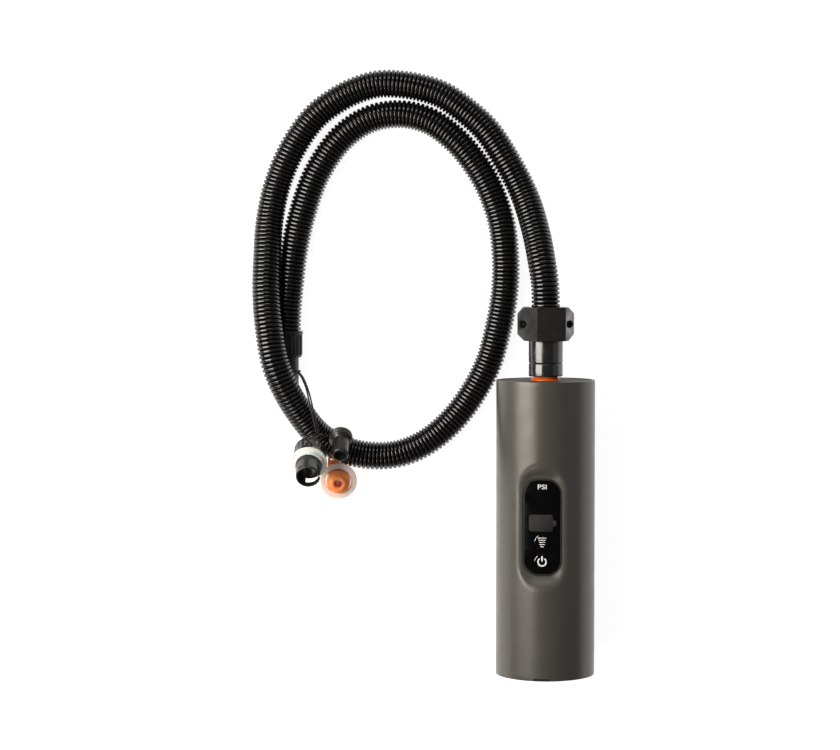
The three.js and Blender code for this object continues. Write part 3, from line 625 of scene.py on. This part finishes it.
# ---------- coupling ----------
ring_piece = lathe("coupling_ring_looks", [
    (14.2, 120), (14.8, 120.6), (14.8, 130.7), (14.4, 131.2), (10.5, 131.2), (10.5, 126.4),
    (12.1, 126.4), (12.1, 123.6), (10.5, 123.6), (10.5, 120),
], COUPLING, GLOSS, 128, 0.25)
stands_for(ring_piece, "hose_set", "gloss_black", "coupling_ring")
sleeve_piece = lathe("coupling_sleeve_looks", [
    (14.4, 131.5), (14.8, 132), (14.8, 150.5), (9.0, 150.5), (9.0, 173.6), (7.4, 173.6),
    (7.4, 140), (10.5, 139), (10.5, 131.5),
], COUPLING, GLOSS, 128, 0.25)
stands_for(sleeve_piece, "hose_set", "gloss_black", "coupling_sleeve")
for half in ("collar_front", "collar_back"):
    made = refined(half + "_looks", half, COLLAR, 0.6)
    stands_for(made, "hose_set", "black_plastic", half)
# Painted shade: the collar screws are near-black so that they read as the shade in their counterbores.
for screw in ("collar_screw_left", "collar_screw_right"):
    made = refined(screw + "_looks", screw, PAINTED_SHADE_STEEL, 0.12, 2)
    stands_for(made, "hose_set", "steel", screw)


# ---------- valve adapters, each on its own axis along Y ----------
def knurled(radius, y, angle):
    """Grip notches round the foot of the bayonet adapter."""
    if radius < 13.2 or not 5 < y < 13:
        return radius
    return radius - 0.5 * max(0.0, math.cos(18 * angle)) ** 2


bayonet = lathe("bayonet_fitting", [
    (11, 0), (12.6, 0.5), (13.4, 1.6), (12.9, 2.3), (13.6, 3.1), (13.0, 3.9), (13.6, 4.8),
    (13.6, 12.6), (12, 13.1), (12, 15), (14.6, 15.3), (15, 16), (15, 19.6), (14.4, 20), (10.7, 20),
    (10.7, 28.2), (10.2, 28.8), (10.5, 29.5), (10.5, 42.8), (9.9, 43.5), (9, 43.5), (9, 0),
], BAYONET, COLLAR, 144, 0.3, knurled)
entry_cut = box_solid("entry_cut", (6, 33, -1.5), (11, 45, 3), BAYONET, GLOSS)
catch_cut = box_solid("catch_cut", (-2.5, 30, -1.4), (11.2, 38, 12), BAYONET, GLOSS)
eyelet = lathe("bayonet_eyelet", [(1.3, 15.6), (3.0, 15.6), (3.0, 18), (1.3, 18)],
               BAYONET @ Matrix.Translation((0, 0, -16.6)), GLOSS, 40, 0.3)
peg_place = BAYONET @ Matrix.Rotation(math.radians(224), 4, "Y") @ Matrix.Translation((0, 39.5, 0)) \
    @ Matrix.Rotation(math.radians(90), 4, "X")
peg = lathe("locking_peg", [(0.01, 9.4), (2.3, 9.4), (2.3, 10.9), (1.7, 11.0), (1.3, 10.7), (0.01, 10.7)],
            peg_place, GLOSS, 40, 0.15)
bayonet = boolean(bayonet, [entry_cut, catch_cut])
bayonet = boolean(bayonet, [eyelet, peg], "UNION", 40)
stands_for(bayonet, "hose_set", "gloss_black", "bayonet_adapter")
bayonet_washer = lathe("bayonet_washer", [
    (15.6, 20.4), (15.6, 22.6), (12.9, 22.9), (12.5, 23.4), (12.5, 26), (10.9, 26), (10.9, 20.4),
], BAYONET, SILICONE, 120, 0.5)
stands_for(bayonet_washer, "hose_set", "clear_silicone", "bayonet_gasket")

stepped = lathe("stepped_fitting", [
    (5.4, 0), (8.4, 0), (9.4, 0.5), (9.7, 1.2), (9.3, 1.7), (9.9, 2.2), (10.2, 3.0), (9.6, 3.5),
    (10.2, 4.0), (10.2, 4.9), (9.6, 5.4), (10.2, 5.9), (10.2, 6.9), (9.2, 7.7), (7.6, 9.2),
    (7.3, 10.2), (7.3, 25.2), (6.6, 26), (5.4, 26),
], STEPPED, COLLAR, 128, 0.25)
stands_for(stepped, "hose_set", "gloss_black", "stepped_adapter")


def tab_outline():
    """The lanyard tab of the orange adapter, seen along its axis."""
    return [(p.x, p.y) for p in softened(
        [(7.5, -8), (3, -21.4), (1.6, -23), (-1.6, -23), (-3, -21.4), (-7.5, -8)], 1.2, 4)]


def orange_tab():
    turned = ORANGE @ Matrix.Rotation(math.radians(16), 4, "Y")
    flat_place = turned @ Matrix.Rotation(math.radians(90), 4, "X")
    made = plate("orange_tab", tab_outline(), -28.4, -26.6, flat_place, CLEAR_ORANGE, 0.3)
    hole = plate("tab_hole", circle(1.5, 32, 0, -20), -32, -22, flat_place, CLEAR_ORANGE, 0.1)
    middle = plate("tab_middle", circle(9, 48), -32, -22, flat_place, CLEAR_ORANGE, 0.1)
    return boolean(made, [hole, middle])


orange = lathe("orange_fitting", [
    (3.6, 0), (8, 0), (9.4, 0.8), (9.4, 3.2), (9.1, 3.5), (9.4, 3.8), (9.4, 24), (10.4, 25.4),
    (10.4, 33.0), (9.9, 34.3), (9.0, 34.9), (6.9, 35.3), (6.4, 35.9), (6.4, 39.2), (5.7, 40),
    (3.6, 40),
], ORANGE, CLEAR_ORANGE, 128, 0.35)
orange = boolean(orange, [orange_tab()], "UNION", 40)
stands_for(orange, "hose_set", "orange_plastic", "orange_adapter")
orange_washer = lathe("orange_washer", [(16, 28.9), (16, 31.3), (10.95, 31.3), (10.95, 28.9)],
                      ORANGE, WARM_SILICONE, 120, 0.6)
stands_for(orange_washer, "hose_set", "clear_silicone", "orange_gasket")

# ---------- pieces carried on the hose, listed ---
on_hose = [cuff, nozzle, nozzle_loop, ring_piece, sleeve_piece, "coupling_seal"]
on_hose += [bpy.data.objects[name + "_looks"] for name in (
    "collar_front", "collar_back", "collar_screw_left", "collar_screw_right")]


# ---------- pump body ----------
def smooth_least(a, b, blend):
    """The lesser of two heights with a soft edge between them."""
    h = max(0.0, min(1.0, 0.5 + 0.5 * (b - a) / blend))
    return b * (1 - h) + a * h - blend * h * (1 - h)


def outside_flat(x, y):
    """How far a point lies outside the flat's outline. Negative inside."""
    px = abs(x) - (FLAT_WIDTH / 2 - FLAT_CORNER)
    py = abs(y - PANEL_Y) - (FLAT_LENGTH / 2 - FLAT_CORNER)
    beyond = math.hypot(max(px, 0.0), max(py, 0.0))
    return beyond + min(max(px, py), 0.0) - FLAT_CORNER


def flat_height(x, y):
    """The height of the flat, which ramps up softly outside its outline."""
    out = outside_flat(x, y) + 3.0
    soft = 4.0
    return FLAT_HEIGHT + 0.62 * ((out + math.sqrt(out * out + soft * soft)) / 2 - 0.25)


def shell_columns():
    fine = [math.radians(-50 + 100 * i / 124) for i in range(125)]
    coarse = [math.radians(50 + 260 * i / 86) for i in range(1, 86)]
    return fine + coarse


def shell_outer_rows():
    y0, y1 = BASE_Y + 0.8, TOP_Y
    low, high = PANEL_Y - 57, PANEL_Y + 57
    rows = [y0, y0, y0 + 0.12, y0 + 0.4, y0 + 4]
    rows += [y0 + 4 + (low - y0 - 4) * i / 10 for i in range(1, 10)]
    rows += [low + (high - low) * i / 152 for i in range(153)]
    rows += [high + (y1 - 4 - high) * i / 8 for i in range(1, 9)]
    return rows + [y1 - 0.4, y1 - 0.12, y1, y1]


def edge_step(index, count):
    """How far the outside pulls in at the shell's rounded ends."""
    steps = {0: 0.5, 1: 0.25, 2: 0.08, 3: 0.0}
    return steps.get(min(index, count - 1 - index), 0.0)


def outer_shell_solid():
    columns, rows = shell_columns(), shell_outer_rows()
    verts, faces = [], []
    for n, y in enumerate(rows):
        radius = BODY_RADIUS - edge_step(n, len(rows))
        for angle in columns:
            x, z = radius * math.sin(angle), radius * math.cos(angle)
            if z > 20 and abs(y - PANEL_Y) < 58:
                z = smooth_least(z, flat_height(x, y), 2.8)
            verts.append((x, y, z))
    inner_rows = [rows[-1], PANEL_Y + 54.2, PANEL_Y + 54, PANEL_Y - 54, PANEL_Y - 54.2, rows[0]]
    for n, y in enumerate(inner_rows):
        for angle in columns:
            x, z = 40 * math.sin(angle), 40 * math.cos(angle)
            if n in (2, 3):
                z = min(z, FLAT_HEIGHT - 2.8)
            verts.append((x, y, z))
    count, total = len(columns), len(rows) + len(inner_rows)
    for n in range(total):
        a, b = n * count, ((n + 1) % total) * count
        for i in range(count):
            k = (i + 1) % count
            faces.append((a + i, a + k, b + k, b + i))
    return finish_mesh("body_shell", verts, faces, PUMP, SHELL, 40)


def panel_outline(grow, steps=12):
    width, length = PANEL_WIDTH + 2 * grow, PANEL_LENGTH + 2 * grow
    return rounded_rect(width, length, PANEL_CORNER + grow, steps, 0, PANEL_Y)


CHARGE = PUMP @ Matrix.Rotation(math.radians(112), 4, "Y")
CHARGE_Y = -80.0


def body_shell():
    made = outer_shell_solid()
    pocket = plate("pocket_cut", panel_outline(GASKET_WIDTH + 2 * GAP), PANEL_TOP - PANEL_THICK - GAP,
                   50, PUMP, SHELL, 0.1)
    window = plate("window_cut", panel_outline(-2), 20, 45, PUMP, SHELL, 0.1)
    seat = plate("seat_cut", rounded_rect(13.6, 24.6, 2.2, 6, 0, CHARGE_Y), 40.3, 46, CHARGE, SHELL, 0.05)
    hole = plate("socket_cut", rounded_rect(9.2, 12, 1.5, 6, 0, CHARGE_Y - 1), 35, 44, CHARGE, SHELL, 0.05)
    notch = box_solid("rim_notch", (-6.9, BASE_Y, 39), (6.9, BASE_Y + 2.6, 43.5), PUMP, SHELL)
    return boolean(made, [pocket, window, seat, hole, notch], "DIFFERENCE", 30)


shell = body_shell()
stands_for(shell, "pump_body", "shell_grey", "outer_shell")

top_cap = lathe("end_cap_top", [
    (39.7, 116.1), (39.2, 116.6), (13.1, 116.6), (13.1, 114.5), (36.7, 114.5), (36.7, 108),
    (39.7, 108),
], PUMP, CAP, 240, 0.5)
stands_for(top_cap, "pump_body", "shell_grey", "top_cap")


def rod_outline(radius, y0, y1):
    """The half outline of a plain rod on the Y axis."""
    return [(0.01, y0), (radius, y0), (radius, y1), (0.01, y1)]


def screw_wells(made):
    """The wells for the base cap's screws."""
    cuts = []
    for degrees in (90, 210, 330):
        angle = math.radians(degrees)
        at = PUMP @ Matrix.Translation((31 * math.sin(angle), 0, 31 * math.cos(angle)))
        cuts.append(lathe("well", rod_outline(3.3, BASE_Y - 1, BASE_Y + 3), at, SHELL, 40, 0))
        cuts.append(lathe("bore", rod_outline(1.7, BASE_Y, BASE_Y + 12), at, SHELL, 24, 0))
    return boolean(made, cuts)


base_cap = lathe("end_cap_base", [
    (39.7, -136), (39.7, -128), (36.7, -128), (36.7, -133), (13, -133), (13, -137.2),
    (36.2, -137.2), (36.2, -136),
], PUMP, CAP, 240, 0.3)
base_cap = screw_wells(base_cap)
stands_for(base_cap, "pump_body", "shell_grey", "bottom_cap")
foot = lathe("foot_pad", [(39.4, -138), (39.4, -136.3), (36.5, -136.3), (36.5, -138)], PUMP, RUBBER, 200, 0.4)
stands_for(foot, "pump_body", "soft_rubber", "foot_ring")
for number in (1, 2, 3):
    node = f"cap_screw_{number}"
    stands_for(refined(node + "_looks", node, STEEL, 0.15, 2), "pump_body", "steel", node)

spout = lathe("outlet_looks", [
    (8, 111), (15, 111), (15, 114), (12.7, 114), (12.7, 117.2), (11.4, 117.9), (10.2, 119.4),
    (10.2, 137), (9.4, 138), (8, 138),
], PUMP, ORANGE_PLASTIC, 128, 0.4)
stands_for(spout, "pump_body", "orange_plastic", "outlet_spout")
inlet = lathe("inlet_looks", [
    (10.7, -137.6), (12.7, -137.6), (12.7, -132.7), (15, -132.7), (15, -130.5), (12.7, -130.5),
    (12.7, -124), (10.7, -124),
], PUMP, ORANGE_PLASTIC, 128, 0.4)
stands_for(inlet, "pump_body", "orange_plastic", "inlet_collar")


# ---------- display ----------
def button_hole(name, y):
    return plate(name, circle(7, 72, 0, y), 30, 40, PUMP, PANEL_BLACK, 0.05)


panel = plate("display_window", panel_outline(0), PANEL_TOP - PANEL_THICK, PANEL_TOP, PUMP, PANEL_BLACK, 0.3)
panel = boolean(panel, [button_hole("power_hole", POWER_Y), button_hole("level_hole", LEVEL_Y)])
stands_for(panel, "pump_body", "gloss_black", "display_panel")


def gasket_ring():
    inner = plate("gasket_inside", panel_outline(GAP), 30, 40, PUMP, RUBBER, 0.05)
    outer = plate("panel_seal", panel_outline(GASKET_WIDTH + GAP), PANEL_TOP - PANEL_THICK,
                  FLAT_HEIGHT - 0.2, PUMP, RUBBER, 0.35)
    return boolean(outer, [inner])


stands_for(gasket_ring(), "pump_body", "soft_rubber", "panel_gasket")


def push_button(name, y):
    """A round key with a flat top and a rounded rim."""
    top = PANEL_TOP
    skirt = PANEL_TOP - PANEL_THICK - GAP
    outline = [(0.01, skirt - 1.7), (1.5, skirt - 1.7), (1.5, skirt - 1), (7.7, skirt - 1), (7.7, skirt),
               (6.7, skirt), (6.7, top - 0.25), (6.4, top - 0.05), (5.9, top), (0.01, top)]
    upright = PUMP @ Matrix.Translation((0, y, 0)) @ Matrix.Rotation(math.radians(90), 4, "X")
    return lathe(name, outline, upright, PANEL_BLACK, 96, 0.12, None, 60)


def icon_solid(name, outline, z0, z1, material):
    return plate(name, outline, z0, z1, PUMP, material, 0.02, 1)


def arc_band(radius, width, start, end, cx, cy, steps=48):
    """The outline of part of a ring. Angles are degrees from +X."""
    outer = [(radius + width / 2, math.radians(start + (end - start) * i / steps)) for i in range(steps + 1)]
    inner = [(radius - width / 2, a) for _, a in reversed(outer)]
    return [(cx + r * math.cos(a), cy + r * math.sin(a)) for r, a in outer + inner]


ICON_FLOOR = PANEL_TOP - 0.5
ICON_TOP = PANEL_TOP + 0.05


# White inlays on a key: its printed marks, and a painted highlight arc on its rim.
def key_print_and_glint(name, outline):
    return icon_solid(name, outline, ICON_FLOOR, ICON_TOP, PRINT_AND_GLINT_WHITE)


def power_marks_and_glint():
    ring = key_print_and_glint("power_mark_ring", arc_band(3.45, 1.2, 125, 415, 0, POWER_Y))
    # Painted highlight: a thin white arc at the upper left of the key's rim stands in for the key light's
    # glint there.
    arc = key_print_and_glint("power_key_painted_glint", arc_band(6.3, 0.5, 127, 172, 0, POWER_Y, 16))
    bar = key_print_and_glint("power_mark_bar", rounded_rect(1.3, 4.6, 0.4, 4, 0, POWER_Y + 2.6))
    return [ring, bar, arc]


LEVEL_BAR_WIDTHS = (7.5, 6.2, 5.5, 4.6, 3.3)
LEVEL_BAR_PITCH = 1.85
LEVEL_BAR_HEIGHT = 0.65


def level_marks_and_glint():
    # Painted highlight: a thin white arc at the upper left of the key's rim stands in for the key light's
    # glint there.
    bars = [key_print_and_glint("level_key_painted_glint", arc_band(6.3, 0.5, 122, 172, 0, LEVEL_Y, 16))]
    for i, width in enumerate(LEVEL_BAR_WIDTHS):
        y = LEVEL_Y + 3.6 - LEVEL_BAR_PITCH * i
        outline = rounded_rect(width, LEVEL_BAR_HEIGHT, 0.3, 3, 0, y)
        bars.append(key_print_and_glint(f"level_mark_{i + 1}", outline))
    return bars


for name, node, y, marks in (
    ("power_key", "power_button", POWER_Y, power_marks_and_glint()),
    ("level_key", "level_button", LEVEL_Y, level_marks_and_glint()),
):
    stands_for(push_button(name, y), node, "gloss_black", node)
    for mark in marks:
        stands_for(mark, node, "gloss_black")

battery_mark = icon_solid("battery_mark", rounded_rect(20.4, 14.4, 2.2, 8, -1.1, -2.9),
                          PANEL_TOP - 0.1, PANEL_TOP + 0.03, PRINT_GREY)
battery_nub = icon_solid("battery_nub", rounded_rect(4.6, 5.0, 2.2, 8, 10.2, -2.9),
                         PANEL_TOP - 0.1, PANEL_TOP + 0.02, PRINT_GREY)
for mark in (battery_mark, battery_nub):
    stands_for(mark, "pump_body", "gloss_black")


UNIT_WIDTH = 7.5
UNIT_HEIGHT = 4.1
UNIT_Y = 28.0


def unit_text():
    """The unit of pressure above the read-out."""
    text = bpy.data.curves.new("unit", "FONT")
    text.body = "PSI"
    text.size = 6.6
    text.offset = 0.05
    text.extrude = 0.06
    text.align_x, text.align_y = "CENTER", "CENTER"
    holder = bpy.data.objects.new("unit", text)
    bpy.context.collection.objects.link(holder)
    bpy.context.view_layer.update()
    graph = bpy.context.evaluated_depsgraph_get()
    mesh = bpy.data.meshes.new_from_object(holder.evaluated_get(graph))
    bpy.data.objects.remove(holder)
    verts = [v.co.copy() for v in mesh.vertices]
    low = Vector((min(v.x for v in verts), min(v.y for v in verts), 0))
    high = Vector((max(v.x for v in verts), max(v.y for v in verts), 0))
    middle, wide, tall = (low + high) / 2, high.x - low.x, high.y - low.y
    across, along = UNIT_WIDTH / wide, UNIT_HEIGHT / tall
    verts = [((v.x - middle.x) * across, UNIT_Y + (v.y - middle.y) * along, PANEL_TOP + v.z)
             for v in verts]
    faces = [tuple(p.vertices) for p in mesh.polygons]
    return finish_mesh("unit_mark", verts, faces, PUMP, PRINT_AND_GLINT_WHITE)


stands_for(unit_text(), "pump_body", "gloss_black")

# ---------- charging flap ----------
flap = plate("charge_cover", rounded_rect(13, 24, 2, 6, 0, CHARGE_Y), 40.7, 42.4, CHARGE, RUBBER, 0.3)
stands_for(flap, "charge_flap", "soft_rubber", "charge_flap")

# ---------- inner pieces keep their CAD shape ----------
INNER_LOOKS = {
    BOARD: ["control_board"],
    CELL: ["battery_cell_1", "battery_cell_2", "battery_cell_3", "battery_cell_4"],
    STEEL: ["power_switch", "level_switch", "fan_shaft", "fan_motor", "compressor_motor", "crank_disc"],
    MOULDED: ["display_module", "charge_socket", "cell_holder_lower", "cell_holder_upper", "fan_cover",
              "piston_rod"],
    RUBBER: ["piston_seal", "coupling_seal"],
    INNER: ["fan_housing", "fan_impeller", "air_duct", "outlet_manifold", "compressor_housing",
            "cylinder_head"],
}
for material, names in INNER_LOOKS.items():
    for name in names:
        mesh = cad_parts[name].data
        mesh.materials.clear()
        mesh.materials.append(material)


# ---------- floor and light ----------
def floor_plane():
    mesh = bpy.data.meshes.new("floor")
    size = 6.0
    corners = [(-size, -size, 0), (size, -size, 0), (size, size, 0), (-size, size, 0)]
    mesh.from_pydata(corners, [], [(0, 1, 2, 3)])
    made = bpy.data.objects.new("floor", mesh)
    bpy.context.collection.objects.link(made)
    look = new_material("studio_floor", (0.5, 0.5, 0.5), 0.8)
    vary_color(look, (0.49, 0.49, 0.49), (0.51, 0.51, 0.51), 3)
    shader = look.node_tree.nodes["Principled BSDF"]
    shader.inputs["Emission Color"].default_value = (1, 1, 1, 1)
    shader.inputs["Emission Strength"].default_value = 0.9
    mesh.materials.append(look)


floor_plane()


def softbox(name, place, target, width, height, power, color=(1, 1, 1)):
    data = bpy.data.lights.new(name, "AREA")
    data.shape = "RECTANGLE"
    data.size, data.size_y = width, height
    data.energy = power
    data.color = color
    made = bpy.data.objects.new(name, data)
    made.location = place
    aim = Vector(target) - Vector(place)
    made.rotation_euler = aim.to_track_quat("-Z", "Y").to_euler()
    bpy.context.collection.objects.link(made)


softbox("key", (-1.25, 0.32, 1.09), (0, 0.1, 0.04), 0.95, 1.3, 36, (1, 0.95, 0.87))
softbox("rim", (1.7, 0.1, 0.55), (0, 0.05, 0.04), 0.7, 1.6, 1, (0.9, 0.94, 1))
softbox("low", (-0.75, -0.95, 1.25), (0, 0.05, 0.04), 0.4, 0.4, 3, (1, 0.95, 0.87))
softbox("back", (-0.2, 1.7, 1.3), (-0.1, 0.2, 0.02), 1.3, 0.35, 7)
world = bpy.data.worlds.new("studio")
world.use_nodes = True
world.node_tree.nodes["Background"].inputs["Color"].default_value = (1, 1, 1, 1)
world.node_tree.nodes["Background"].inputs["Strength"].default_value = 0.1
bpy.context.scene.world = world
bpy.context.scene.view_settings.view_transform = "Standard"
